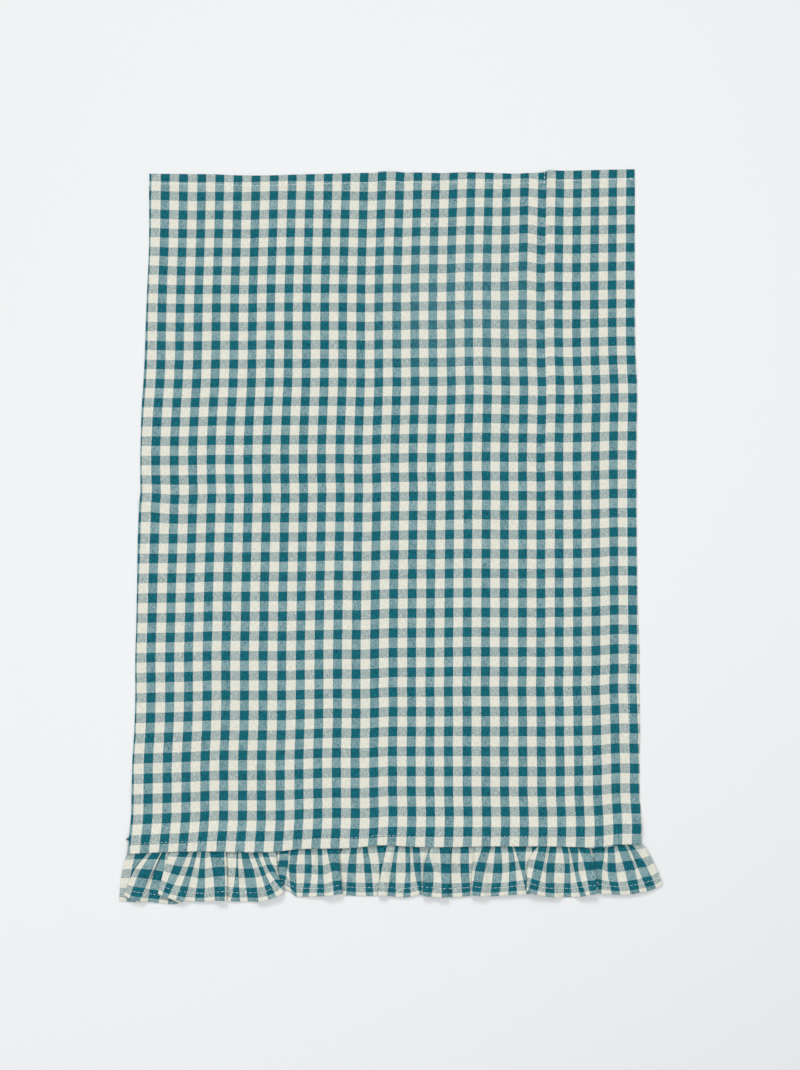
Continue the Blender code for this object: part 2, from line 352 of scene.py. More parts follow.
# how the woven columns drift: share of the length, then repeats at the left, middle and right
columnDrift = (
    (0, 0, -0.14, -0.02), (0.11, 0.07, -0.02, -0.015), (0.29, 0.01, -0.05, 0.01),
    (0.35, 0.02, -0.055, -0.005), (0.4, 0.08, -0.025, 0.01), (0.45, 0.07, -0.02, 0.01),
    (0.51, 0.01, -0.07, 0.005), (0.63, 0.07, -0.04, -0.005), (0.77, 0.08, 0.015, 0.115),
    (0.88, 0.06, -0.035, 0.015), (0.97, 0.025, -0.07, -0.015), (1, 0.025, -0.07, -0.015),
)

checkPulls = (
    (128, 300, 17, 90, 0.14),
    (-236, 20, 16, 22, 0.12),
)


def edgeCurve(start, end, table, side, share):
    start, end = np.array(start), np.array(end)
    along = end - start
    length = math.hypot(*along)
    away = smoothTable(table, share * table[-1][0]) * side
    return start + along * share[..., None] + np.array([-along[1], along[0]]) / length * away[..., None]


def panelPlan(across, down):
    # the outline's four curves, blended over the panel
    names = ("topLeft", "topRight", "bottomLeft", "bottomRight")
    topLeft, topRight, bottomLeft, bottomRight = [np.array(panel[name]) for name in names]
    top = edgeCurve(topLeft, topRight, topEdge, 1, across)
    bottom = edgeCurve(bottomLeft, bottomRight, bottomEdge, -1, across)
    left = edgeCurve(topLeft, bottomLeft, leftEdge, -1, down)
    right = edgeCurve(topRight, bottomRight, rightEdge, 1, down)
    a, d = across[..., None], down[..., None]
    corners = ((1 - a) * (1 - d) * topLeft + a * (1 - d) * topRight
               + (1 - a) * d * bottomLeft + a * d * bottomRight)
    return top * (1 - d) + bottom * d + left * (1 - a) + right * a - corners


def ridgeLift(x, y):
    lift = np.zeros_like(x)
    for startX, startY, endX, endY, halfWidth, height in panelRidges:
        runX, runY = endX - startX, endY - startY
        length = math.hypot(runX, runY)
        along = ((x - startX) * runX + (y - startY) * runY) / length
        across = ((x - startX) * runY - (y - startY) * runX) / length
        beside = smoothStep(1 - np.abs(across) / halfWidth)
        lift += height * beside * smoothStep(1 - along / length) * smoothStep(1 + along / halfWidth)
    return lift


def unevenHeight(x, y, size, height, seed):
    flat = [noise.noise((float(px) / size, float(py) / size, seed)) for px, py in zip(x.ravel(), y.ravel())]
    return height * (1 + np.array(flat).reshape(x.shape))


def tuckHeight(x, y, fromTop):
    place, length, height = panel["tuck"]
    left, right = panel["tuckSides"]
    beside = x - place - panel["tuckLean"] * (y - panel["tuckTop"])
    slopes = height * smoothStep((beside + left) / left) * smoothStep((right - beside) / right)
    return slopes * smoothStep(panel["tuckFade"] * (1 - fromTop / length))


def panelHeight(x, y, across, down):
    width, length = topEdge[-1][0], leftEdge[-1][0]
    fromEdge = np.minimum(np.minimum(across, 1 - across) * width, np.minimum(down, 1 - down) * length)
    onHem = 1 - reached(fromEdge, panelHem[-1], panel["hemRise"])
    fromStitches = fromEdge - panelHem[-3]
    stitched = np.exp(-(fromStitches / panel["stitchGroove"]) ** 2)
    puckers = (unevenHeight(x, y, *panel["puckers"])
               * smoothStep(1 - np.abs(fromStitches) / panel["puckerReach"]))
    onGathers = 1 - reached((1 - down) * length, *panel["lowerBand"])
    waves = sum(unevenHeight(x, y, *wave) for wave in panel["waves"])
    gathers = unevenHeight(x, y * panel["gatherShape"], *panel["gathers"])
    hem = (cloth["hemGap"] + panel["stitchPull"]) * onHem
    spread = (ridgeLift(x, y) + waves * (1 - onHem)) * (1 - onGathers)
    seam = (panel["gatherLift"] + gathers) * onGathers
    base = cloth["lowest"] + cloth["thickness"] / 2
    return (base + hem + spread + seam + puckers - panel["stitchPull"] * stitched
            + tuckHeight(x, y, down * length))


def panelCheck(x, y, across, down):
    # the woven check's own coordinates, in repeats
    left, middle, right = [smoothTable([(row[0], row[k]) for row in columnDrift], down) for k in (1, 2, 3)]
    drift = (left * (1 - across) * (1 - 2 * across) + middle * 4 * across * (1 - across)
             + right * across * (2 * across - 1))
    u = (panel["checkStart"][0] + panel["checkSpan"][0] * across + panel["columnTilt"][0] * across * down
         + panel["columnTilt"][1] * down + drift)
    v = panel["checkStart"][1] + panel["checkSpan"][1] * down + panel["rowStretch"] * down ** 2
    bows = [smoothTable([(row[0], row[k + 1]) for row in rowBow], across) for k in range(len(rowBowDown))]
    bow = bows[0]
    for k in range(1, len(bows)):
        share = reached(down, rowBowDown[k - 1], rowBowDown[k] - rowBowDown[k - 1])
        bow = bow + (bows[k] - bows[k - 1]) * share
    v = v + panel["rowTilt"][0] * across + panel["rowTilt"][1] * across * down + bow
    for placeX, placeY, halfWidth, halfHeight, pull in checkPulls:
        v = v + pull * np.exp(-((x - placeX) / halfWidth) ** 2 - ((y - placeY) / halfHeight) ** 4)
    return np.stack([u, v], axis=-1)


def gridShares(length, added=()):
    # the grid's lines along an edge of this length, as shares of it
    hem = [place / length for place in panelHem]
    hem += [(panelHem[-1] + extra) / length for extra in panel["besideHem"]]
    count = round(length * (1 - 2 * hem[-1]) / panel["gridStep"])
    inner = [hem[-1] + (1 - 2 * hem[-1]) * i / count for i in range(1, count)]
    added = [place / length for place in added]
    least = panel["leastStep"] * panel["gridStep"] / length
    inner = [share for share in inner if all(abs(share - place) > least for place in added)]
    return np.array(sorted(hem + inner + added + [1 - share for share in hem]))


def buildPanel():
    width, length = topEdge[-1][0], leftEdge[-1][0]
    tuckLines = [panel["tuck"][0] - panel["topLeft"][0] + place for place in panel["tuckLines"]]
    across, down = np.meshgrid(gridShares(width, tuckLines), gridShares(length))
    plan = panelPlan(across, down)
    x, y = plan[..., 0], plan[..., 1]
    points = np.stack([x, y, panelHeight(x, y, across, down)], axis=-1)
    normals = surfaceNormals(points)
    # beside the tuck a thread end runs down the hem, and a dark yarn laid in the fold paints its shadow
    tail, fold = [np.argmin(np.abs(across[0] * width - tuckLines[k])) for k in panel["tuckThreads"]]
    stitched = len(panelHem) - 3
    stitchRuns = ((np.s_[stitched], 0.0), (np.s_[-stitched], panel["seamSunk"]),
                  (np.s_[:, stitched], panel["sideSunk"]), (np.s_[:, -1 - stitched], panel["sideSunk"]),
                  (np.s_[1:stitched + 1, tail], 0.0))
    lines = [(points[run], normals[run], sunk) for run, sunk in stitchRuns]
    shadowYarnRun = np.s_[:stitched + 2, fold]
    shadowYarnLine = points[shadowYarnRun] + normals[shadowYarnRun] * cloth["thickness"] / 2
    piece = clothMesh("panelCloth", points, panelCheck(x, y, across, down),
                      ("top", "bottom", "left", "right"), panelHem)
    return piece, lines, shadowYarnLine


panelCloth, panelStitchLines, tuckShadowPath = buildPanel()
print("panel made:", len(panelCloth.data.polygons), "faces")

ruffle = {
    "checkAtSeam": -0.12,  # the check down the ruffle, in repeats
    "checkAtHem": 2.42,
    "checkShift": -0.72,  # and along it, at its left end
    "depth": 47.0,  # mm
    "middle": 0.44,  # where the folds' middle places lie, as a share from seam to hem
    "tuckedUnder": 9.0,  # mm of it behind the panel's hem
    "stationStep": 0.08,  # repeats between points along it
    "endGaps": (0.05, 0.03),  # repeats kept free inside the hems of its left and right end
    "turnPoints": 7,  # points in the turn of a fold
    "halfTurn": 0.085,  # repeats of cloth in half a fold's turn
    "turnSlope": 0.6,
    "openTurn": 3.0,  # mm for each repeat that a turn spreads where its fold has died away
    "leastSpan": 0.02,  # repeats
    "steepest": 2.5,  # most that a slope is of the slopes beside it
    "rollAtSeam": 0.5,  # mm, radius of a fold's roll
    "rollAtHem": 0.85,
    # pairs: where it starts, and over how much
    "foldRise": (-0.4, 2.2),  # mm of overlap that raise a fold
    "topFall": (1.2, 9.0),  # mm past its tuck where a top layer comes down
    "hemFlare": 1.1,  # mm that a pleat's top layer stands up further at the hem
    "flareFrom": 0.5,  # share from seam to hem
    "coverReach": 3.5,  # repeats to each side of a pleat that can lie under it
    "coverMargin": (1.5, 2.0),  # mm past a pleat's folds
    "puff": (0.55, 2.4, 0.35),  # mm, the soft gathers' height at the seam, just below it, at the hem
    "puffRise": (0.005, 0.16),  # shares from seam to hem
    "puffFall": (0.12, 0.75, 0.8),  # the same, and the power that shapes it
    "puffUneven": (0.75, 0.35),  # mean share of that height, and how much it varies
    "puffNoise": (0.8, 1.5, 2.3),  # noise cells in a repeat and from seam to hem, and seed
    "fineWave": (0.3, 0.2),  # mm, and the share of it at the seam
    "fineFall": (0.8, 0.2, 0.6),  # how much of it dies away, from which share, over how much
    "fineNoise": (3.1, 2.2, 7.9),
    "creaseWidth": 0.14,  # repeats
    "creaseFull": 0.35,  # share of a crease's length that keeps its full strength
    "liftReach": 26.0,  # mm
    "hemRise": (0.74, 0.06),  # shares where the cloth climbs on to its hem
    "endRise": 3.0,  # mm over which it climbs on to the hems at its ends
    "stitchSunk": 0.15,  # mm that the thread sinks into the hem
}

# depths down the ruffle where the grid has its own lines, as shares from the seam to the hem
ruffleLines = (-1, -0.5, 0, 0.02, 0.045, 0.075, 0.11, 0.15, 0.19, 0.235, 0.28, 0.33, 0.38, 0.43, 0.48,
               0.53, 0.58, 0.63, 0.68, 0.725, 0.765, 0.79)

# what the strip does from its left end to its right end, in columns: check along the strip at the hem
# in repeats, how much more it is at the seam, x where it leaves the seam, x and y at the middle, x and
# y at the hem, mm. It turns over at an edge, which shows, and at the tuck hidden under it.
ruffleFolds = (
    (0, 0, -249.5, -254, -327, -257, -352),
    (0.72, 0, -237.5, -241.5, -326.5, -246, -353),
    (1.21, 0, -227.5, -233, -326, -237.5, -353.5, "tuck"),
    (2.05, 0, -229, -243.5, -326, -251.5, -346.5, "edge"),
    (2.72, 0, -222.5, -233, -326.5, -242, -350.5),
    (3.1, 0, -216.5, -225.5, -327, -235, -352, "edge"),
    (3.3, 0, -218.5, -227, -327.5, -231.5, -352.5, "tuck"),
    (3.72, 0, -215, -219, -329, -224, -353.5),
    (4.3, 0, -211, -210.5, -330, -213.5, -354.5),
    (4.72, 0, -208.5, -204.5, -330.5, -205.5, -355),
    (4.96, 0.13, -205.5, -199.5, -330.5, -198.5, -354, "tuck"),
    (6.04, 0, -208, -213.5, -320.5, -219.5, -345, "edge"),
    (6.72, 0, -194.5, -202, -323.5, -213, -347.5),
    (7.72, 0, -185, -190.5, -325, -198.5, -351),
    (8.72, 0, -177.5, -179, -327, -180.5, -352.5),
    (9.72, 0, -166.5, -163.5, -325, -161, -351),
    (10.1, 0, -156, -155, -324, -154.5, -351, "edge"),
    (10.98, -0.4, -158, -157, -325, -158.5, -351, "tuck"),
    (11.48, 0, -146, -147, -326, -151, -352),
    (11.72, -0.08, -143, -143, -326, -146, -352.5, "tuck"),
    (12.08, 0.14, -144.5, -144, -326.5, -141.5, -352.5, "edge"),
    (12.72, 0, -138.5, -133, -326.5, -129.5, -352.5),
    (13.72, 0, -129, -121.5, -324.5, -111.5, -348.5),
    (14.5, 0.46, -117, -113.5, -321.5, -101.5, -341.5),
    (14.62, 1, -108.5, -107.5, -322.5, -100.5, -340, "edge"),
    (15.69, 0.4, -113, -115.5, -320, -120.5, -337, "tuck"),
    (16.72, 0, -100, -101.5, -317.5, -106, -339),
    (16.94, 0, -97, -97.5, -318.5, -102, -340),
    (17.46, 0, -95, -96.5, -322, -94.5, -343.5),
    (17.96, 0, -87, -89.5, -322.5, -89, -348),
    (18.72, 0, -79, -78, -322.5, -81, -348),
    (19.48, 0, -69.5, -69, -323.5, -70, -347.5),
    (19.96, 0, -65.5, -64, -323.5, -62.5, -347),
    (20.72, 0, -56.5, -52.5, -320, -49, -345),
    (20.93, 0.1, -49, -48, -320.5, -45.5, -344.5, "edge"),
    (21.65, -0.15, -50, -56.5, -320.5, -56, -345, "tuck"),
    (22.72, 0, -34.5, -36.5, -322, -37.5, -347),
    (23.2, 0, -29.5, -29.5, -322, -28.5, -347.5),
    (23.72, 0, -24.5, -21.5, -322, -19.5, -347.5),
    (24.48, 0, -13.5, -11, -322.5, -10.5, -346.5),
    (24.62, 0.2, -1, -6, -322, -9, -346.5, "tuck"),
    (24.98, 0, -3, -8, -320.5, -12, -346, "edge"),
    (25.48, 0, 4.5, 0.5, -321, -3.5, -347),
    (25.96, 0, 7.5, 5, -321.5, 4.5, -348),
    (26.48, 0, 13.5, 14, -321.5, 11.5, -348.5),
    (26.96, 0, 18, 18.5, -321.5, 18.5, -348),
    (27.48, 0, 20.5, 22, -321, 27, -346),
    (27.96, 0, 27, 28.5, -321, 29.5, -346),
    (28.3, 0.1, 39.5, 35, -320.5, 34, -346.5, "tuck"),
    (28.46, 0.46, 38, 31.5, -321, 30, -346.5, "edge"),
    (28.72, 0.4, 40.5, 39, -321, 34, -347),
    (29.48, 0, 46, 47.5, -321.5, 48, -348),
    (29.8, 0.22, 56.5, 56.5, -322, 54, -348, "edge"),
    (30.35, 0.3, 53.5, 50.5, -322, 48, -347, "tuck"),
    (30.96, 0, 58.5, 57, -322, 58.5, -348.5),
    (31.72, 0, 69.5, 70, -322, 71.5, -347.5),
    (31.96, 0, 73.5, 74, -322, 75, -347),
    (32.6, 0, 82, 85, -321.5, 85.5, -346, "tuck"),
    (33.42, -0.33, 80.5, 77.5, -319.5, 75.5, -346, "edge"),
    (33.72, 0, 92.5, 85.5, -320.5, 80, -346.5),
    (34.48, 0, 99, 97, -322, 94, -347.5),
    (34.96, 0, 104, 105.5, -322, 102, -347),
    (35.48, 0, 110.5, 112, -321, 110.5, -346.5),
    (35.96, 0, 114.5, 118, -320, 119, -346),
    (36.48, 0, 116.5, 122, -319.5, 128, -345.5),
    (36.96, 0, 128.5, 127, -319.5, 135.5, -344.5),
    (37.48, 0, 133.5, 135, -319, 145, -342.5),
    (38, 0, 142.5, 142.5, -319, 154.5, -340.5, "tuck"),
    (39.43, -0.02, 140, 130, -317, 128, -342.5, "edge"),
    (39.58, 0, 142.9, 137.7, -318.3, 131.6, -343.8),
    (39.96, 0, 148, 144, -320, 137.5, -345.5),
    (40.48, 0, 151, 147, -321.5, 145.5, -347),
    (40.96, 0, 157.5, 155, -321.5, 154, -348),
    (41.48, 0, 161.5, 164.5, -322, 163, -348.5),
    (41.96, 0, 167.5, 169.5, -322, 170.5, -348.5),
    (42.48, 0, 169, 173, -321, 178.5, -347.5),
    (42.98, 0, 177, 177.5, -320.5, 184, -346.5, "edge"),
    (43.2, 0, 175.5, 178.5, -320, 185, -346.5, "tuck"),
    (43.48, 0, 177.5, 183, -319.5, 187.5, -345.5),
    (43.86, 0, 184.1, 190.1, -319.5, 193.4, -344.9),
    (43.99, 0, 186.5, 192.5, -319.5, 195, -341.5, "edge"),
    (44.86, -0.1, 184.5, 185, -319.5, 182, -342.5, "tuck"),
    (45.4, 0, 188.5, 190, -319.5, 191.5, -343.5),
    (45.72, 0, 199.5, 197.5, -319, 195, -344.5),
    (46.48, 0, 206, 205, -321, 208.5, -345.5),
    (46.96, 0, 211.5, 213, -321.5, 216.5, -346),
    (47.72, 0, 216.5, 224.5, -319.5, 230.5, -345),
    (48, 0, 221.5, 230.5, -319, 235.5, -344),
    (48.48, 0, 224, 232, -317.5, 242, -343),
    (48.96, 0, 228, 240, -316.5, 250.5, -340),
    (49.46, 0, 237, 246.5, -313.5, 257, -337),
)

# a pleat's edge that bows out half way down, where more cloth shows: its check, repeats
bowedEdges = ((39.43, -0.32),)

# creases that run down from the seam between two gathers: check, mm down, strength
gatherCreases = (
    (0.45, 12, 0.7), (1.4, 10, 0.5), (7.4, 16, 0.7), (8.05, 26, 0.8), (9.2, 14, 0.6), (13.42, 28, 0.9),
    (14.1, 12, 0.6), (17.2, 30, 1), (18.3, 9, 0.9), (18.98, 16, 0.9), (19.45, 26, 0.9), (22.15, 10, 0.7),
    (23.2, 14, 0.8), (24.55, 8, 0.7), (25.62, 22, 1), (26.4, 9, 0.5), (27.2, 22, 0.9), (28, 10, 1),
    (32.1, 24, 0.9), (34.2, 15, 0.7), (35.4, 9, 0.6), (36.2, 16, 0.9), (36.75, 9, 0.8), (40.3, 26, 0.9),
    (41.2, 10, 0.7), (42.2, 36, 1), (45.2, 12, 0.7), (46.2, 13, 0.6), (47.1, 12, 0.6), (48.12, 18, 0.9),
    (48.95, 24, 0.8),
)

# where the hem stands off the floor: x, mm
hemLifts = (
    (-257, 0.1), (-219, 0.3), (-190, 1.2), (-168, 2.6), (-151, 1.4), (-132, 0.6), (-102, 1.4), (-88, 0.5),
    (-67, 2.6), (-46, 1), (-37, 0), (-10, 0.6), (9, 1.7), (30, 1), (54, 1.5), (79, 1), (104, 3),
    (133, 2.3), (150, 0.3), (165, 0), (178, 0.6), (192, 2.3), (213, 2.7), (237, 2.3), (257, 1),
)
# the line that the hem makes on the floor: x, y, mm; the lift fades out over liftReach above it
hemLine = (
    (-257, -352), (-200, -353), (-150, -352), (-112, -347), (-100, -341), (-80, -347), (0, -347), (100, -347),
    (130, -345), (160, -348), (190, -344), (230, -345), (257, -337),
)


def foldPairs():
    # each pleat as (place in the table of its tuck, of its edge, side whose cloth is on top)
    pairs = []
    for i in range(len(ruffleFolds) - 1):
        kinds = ruffleFolds[i][7:] + ruffleFolds[i + 1][7:]
        if kinds == ("tuck", "edge"):
            pairs.append((i, i + 1, 1))
        elif kinds == ("edge", "tuck"):
            pairs.append((i + 1, i, -1))
    return pairs


def downCurve(atSeam, atMiddle, atHem, share):
    # a curve through three places that never overshoots the middle one
    first, second = ruffle["middle"], 1 - ruffle["middle"]
    upper, lower = (atMiddle - atSeam) / first, (atHem - atMiddle) / second
    same = upper * lower > 0
    weighted = np.where(same, upper * (1 + first) + lower * (1 + second), 1)
    mean = np.where(same, 3 * upper * lower / weighted, 0.0)
    if share <= first:
        return cubic(max(share, 0) / first, first, atSeam, atMiddle, 1.5 * upper - 0.5 * mean, mean)
    return cubic((share - first) / second, second, atMiddle, atHem, mean, 1.5 * lower - 0.5 * mean)


def seamPoint(x):
    # the panel's lower edge at these x, on its own curve
    left, right = panel["bottomLeft"], panel["bottomRight"]
    share = (x - left[0]) / (right[0] - left[0])
    return edgeCurve(left, right, bottomEdge, -1, np.clip(share, 0, 1))[..., 1]


def ruffleStations():
    # the points along the ruffle, as (span, share, turn, phase): each lies in the span after one fold
    # of the table (share, 0 to 1), or else in the turn of a fold (phase, -1 to 1; no turn is -1)
    stations = []
    hemShares = [line / cloth["repeatAcross"] for line in ruffleHem]
    leftGap, rightGap = ruffle["endGaps"]
    for i in range(len(ruffleFolds) - 1):
        length = ruffleFolds[i + 1][0] - ruffleFolds[i][0]
        shares = list(np.linspace(0, 1, max(2, round(length / ruffle["stationStep"])) + 1))
        if i == 0:
            shares = [s for s in shares if s * length > hemShares[-1] + leftGap]
            shares = [line / length for line in hemShares] + shares
        if i == len(ruffleFolds) - 2:
            shares = [s for s in shares if (1 - s) * length > hemShares[-1] + rightGap]
            shares += [1 - line / length for line in reversed(hemShares)]
        else:
            shares = shares[:-1]
        stations += [(i, s, -1, 0.0) for s in shares]
        if len(ruffleFolds[i + 1]) > 7:
            phases = np.linspace(-1, 1, ruffle["turnPoints"] + 2)[1:-1]
            stations += [(i, 1.0, -1, 0.0)] + [(i + 1, 0.0, i + 1, phase) for phase in phases]
    return [np.array(column) for column in zip(*stations)]


def alongSpans(stations, check, values, cut, bend):
    # values at the table's folds, read at the stations: smooth through flats, stopped at turns
    step = np.maximum(np.diff(check) - cut[:-1] - cut[1:], ruffle["leastSpan"])
    secant = np.diff(values) / step
    before, after = np.concatenate([[secant[0]], secant]), np.concatenate([secant, [secant[-1]]])
    lengthBefore, lengthAfter = np.concatenate([[1.0], step]), np.concatenate([step, [1.0]])
    smooth = (before * lengthAfter + after * lengthBefore) / (lengthBefore + lengthAfter)
    steepest = ruffle["steepest"] * np.minimum(np.abs(before), np.abs(after))
    smooth = np.where(before * after > 0, np.sign(smooth) * np.minimum(np.abs(smooth), steepest), 0)
    slopeOut, slopeIn = [np.where(cut > 0, slope * bend, smooth) for slope in (after, before)]
    i, share = stations[:2]
    return cubic(share, step[i], values[i], values[i + 1], slopeOut[i], slopeIn[i + 1])


def foldsAt(depth):
    # the table's folds at one depth: check in repeats, x, y, cloth in half a turn, how far folded,
    # side that it bulges to, radius of the roll
    columns = [np.array([row[k] for row in ruffleFolds], float) for k in range(7)]
    checkAtHem, shift, seamX, middleX, middleY, hemX, hemY = columns
    check = checkAtHem + shift * (1 - depth)
    for edge, bow in bowedEdges:
        check = check + np.where(checkAtHem == edge, bow * 4 * depth * (1 - depth), 0.0)
    x = downCurve(seamX, middleX, hemX, depth)
    y = downCurve(seamPoint(seamX), middleY, hemY, depth)
    half = np.where([len(row) > 7 for row in ruffleFolds], ruffle["halfTurn"], 0.0)
    folded, bulge = np.zeros(len(check)), np.zeros(len(check))
    for tuck, edge, side in foldPairs():
        folded[tuck] = folded[edge] = reached(side * (x[tuck] - x[edge]), *ruffle["foldRise"])
        bulge[tuck], bulge[edge] = side, -side
    roll = ruffle["rollAtSeam"] + (ruffle["rollAtHem"] - ruffle["rollAtSeam"]) * depth
    return check, x, y, half, folded, bulge, roll


def layCourse(folds, stations):
    # where each station's cloth is: repeats along the strip, x and y
    check, foldX, foldY, half, folded, bulge, roll = folds
    i, t, turn, phase = stations
    start, end = check + half, np.roll(check - half, -1)
    at = np.where(turn >= 0, check[turn] + half[turn] * phase, start[i] + (end[i] - start[i]) * t)
    # a turn rolls out to the fold's own x; where the fold has died away the cloth just runs on
    inner = foldX - bulge * roll * folded
    spread = (1 - folded) * ruffle["openTurn"] * half
    following = np.minimum(i + 1, len(check) - 1)
    x = alongSpans(stations, check, inner, half, ruffle["turnSlope"])
    x += (spread[i] * (1 - t) ** 2 - spread[following] * t ** 2) * (turn < 0)
    y = alongSpans(stations, check, foldY, half, 1.0)
    out = bulge[turn] * roll * folded[turn] * np.sin(np.pi * (phase + 1) / 2)
    x = np.where(turn >= 0, inner[turn] + out + spread[turn] * phase, x)
    return at, x, np.where(turn >= 0, foldY[turn], y)


def stackLayers(folds, depth, at, x):
    # how high the pleats lift each place, how far it is covered by one, and how far raised on one
    check, foldX, foldY, half, folded, bulge, roll = folds
    z, cover, raised = np.zeros_like(x), np.zeros_like(x), np.zeros_like(x)
    flare = ruffle["hemFlare"] * reached(depth, ruffle["flareFrom"], 1 - ruffle["flareFrom"])
    margin, fade = ruffle["coverMargin"]
    for tuck, edge, side in foldPairs():
        overTuck, overEdge = [
            (1 - np.cos(np.pi * np.clip((side * (at - check[k]) / half[k] + 1) / 2, 0, 1))) / 2
            for k in (tuck, edge)]
        staysUp = 1 - reached(side * (x - foldX[tuck]), *ruffle["topFall"])
        onTop = side * (at - check[edge]) > 0
        height = (overTuck + overEdge) * folded[tuck] * np.where(onTop, staysUp, 1.0)
        z += 2 * roll * height + flare * folded[tuck] * overEdge * staysUp
        raised = np.maximum(raised, height / 2)
        away = np.maximum(np.abs(at - check[tuck]), np.abs(at - check[edge]))
        low, high = sorted((foldX[tuck], foldX[edge]))
        inside = reached(x, low - margin, fade) * smoothStep((high + margin - x) / fade)
        under = (away < ruffle["coverReach"]) & ~onTop
        cover = np.maximum(cover, np.where(under, inside * folded[tuck], 0.0))
    return z, cover, raised


def stripNoise(at, share, alongScale, downScale, seed):
    return np.array([noise.noise((float(place) * alongScale, share * downScale, seed)) for place in at])


def puffUp(z, share, at, cover, raised):
    # soft gathers between creases, highest just below the seam, and fine waves over them
    rise = reached(share, *ruffle["puffRise"])
    gathers, full = np.ones_like(z), ruffle["creaseFull"]
    for place, reach, strength in gatherCreases:
        fade = 1 - reached(max(share, 0.0) * ruffle["depth"], full * reach, (1 - full) * reach)
        gathers *= 1 - strength * fade * np.exp(-((at - place) / ruffle["creaseWidth"]) ** 2)
    atSeam, below, atHem = ruffle["puff"]
    mean, variation = ruffle["puffUneven"]
    uneven = mean + variation * stripNoise(at, share, *ruffle["puffNoise"])
    start, over, power = ruffle["puffFall"]
    puff = below + (atHem - below) * reached(share, start, over) ** power
    z += (atSeam * (1 - raised) * (1 - rise) + puff * rise * uneven) * gathers * (1 - cover)
    height, seamShare = ruffle["fineWave"]
    lost, start, over = ruffle["fineFall"]
    fine = height * (rise + seamShare) * (1 - lost * reached(share, start, over))
    return z + fine * stripNoise(at, share, *ruffle["fineNoise"]) * (1 - cover)


def ruffleRow(share, stations):
    # the strip's points at one depth, from behind the seam (share below 0) to the hem (1)
    depth = max(share, 0.0)
    folds = foldsAt(depth)
    at, x, y = layCourse(folds, stations)
    z, cover, raised = stackLayers(folds, depth, at, x)
    z = np.maximum(puffUp(z, share, at, cover, raised), 0)
    nearHem = smoothStep(1 - (y - smoothTable(hemLine, x)) / ruffle["liftReach"])
    z = z + np.maximum(smoothTable(hemLifts, x), 0) * nearHem + cloth["lowest"] + cloth["thickness"] / 2
    check = folds[0]
    fromEnd = np.minimum(at - check[0], check[-1] - at) * cloth["repeatAcross"]
    onEndHem = 1 - reached(fromEnd, ruffleHem[-1], ruffle["endRise"])
    z += cloth["hemGap"] * np.maximum(reached(share, *ruffle["hemRise"]), onEndHem)
    if share < 0:
        y = y - share * ruffle["tuckedUnder"]
    return np.stack([x, y, z], axis=-1), at


def buildRuffle():
    shares = list(ruffleLines) + [1 - line / ruffle["depth"] for line in reversed(ruffleHem)]
    stations = ruffleStations()
    rows = [ruffleRow(share, stations) for share in shares]
    points = np.array([row for row, at in rows])
    down = ruffle["checkAtSeam"] + (ruffle["checkAtHem"] - ruffle["checkAtSeam"]) * np.maximum(shares, 0)
    down = down + np.minimum(shares, 0) * ruffle["tuckedUnder"] / cloth["repeatDown"]
    uv = [np.stack([at + ruffle["checkShift"], np.full_like(at, v)], axis=-1)
          for (row, at), v in zip(rows, down)]
    stitched = 2 - len(ruffleHem)
    lines = [(points[stitched], surfaceNormals(points)[stitched], ruffle["stitchSunk"])]
    return clothMesh("ruffleCloth", points, np.array(uv), ("bottom", "left", "right"), ruffleHem), lines


ruffleCloth, ruffleStitchLines = buildRuffle()
print("ruffle made:", len(ruffleCloth.data.polygons), "faces")

stitch = {
    "pitch": 3.9,  # mm from one stitch to the next
    "panel": (3.45, 0.44),  # mm, length and thickness of a stitch there, of a stout sewing cotton
    "ruffle": (3.95, 0.40),
    "unevenness": 0.12,  # share by which the stitches vary
    "proud": 0.05,  # mm that a stitch's middle lies above the cloth
    "leastUpright": 0.4,  # a line stops where its cloth turns over into a fold
    "cornerStart": (227.9, 344.4),  # the back-stitches at the top right corner, mm
    "cornerEnd": (233.9, 344.9),
    "cornerStep": (0.9, 0.40),  # mm from one row of them to the next
    "cornerRows": 3,
    "cornerProud": 0.26,  # mm that they pile up
}

# the frayed nub that sticks out at the lower left: short threads, x, y, z in mm
looseThreads = (
    ((-245.5, -291.8, 2.2), (-248, -293, 2.9), (-249.6, -294.4, 2.4), (-248.4, -296.2, 1.6)),
    ((-245.8, -293.4, 2), (-248.6, -293.9, 2.4), (-250.4, -294.4, 1.6), (-251, -295.4, 0.9)),
    ((-245.6, -294.9, 1.8), (-248.2, -295.9, 2.2), (-250, -295.3, 2), (-250.4, -294.2, 1.4)),
    ((-245.6, -294.2, 2), (-247.4, -294.5, 2.3), (-249.4, -294.9, 1.8), (-250.4, -295, 1.2)),
)
loose = {
    "radius": 0.32,  # mm
    "shadowYarnProud": 0.12,  # mm that the dark yarn painting the tuck's shadow stands off its fold
}


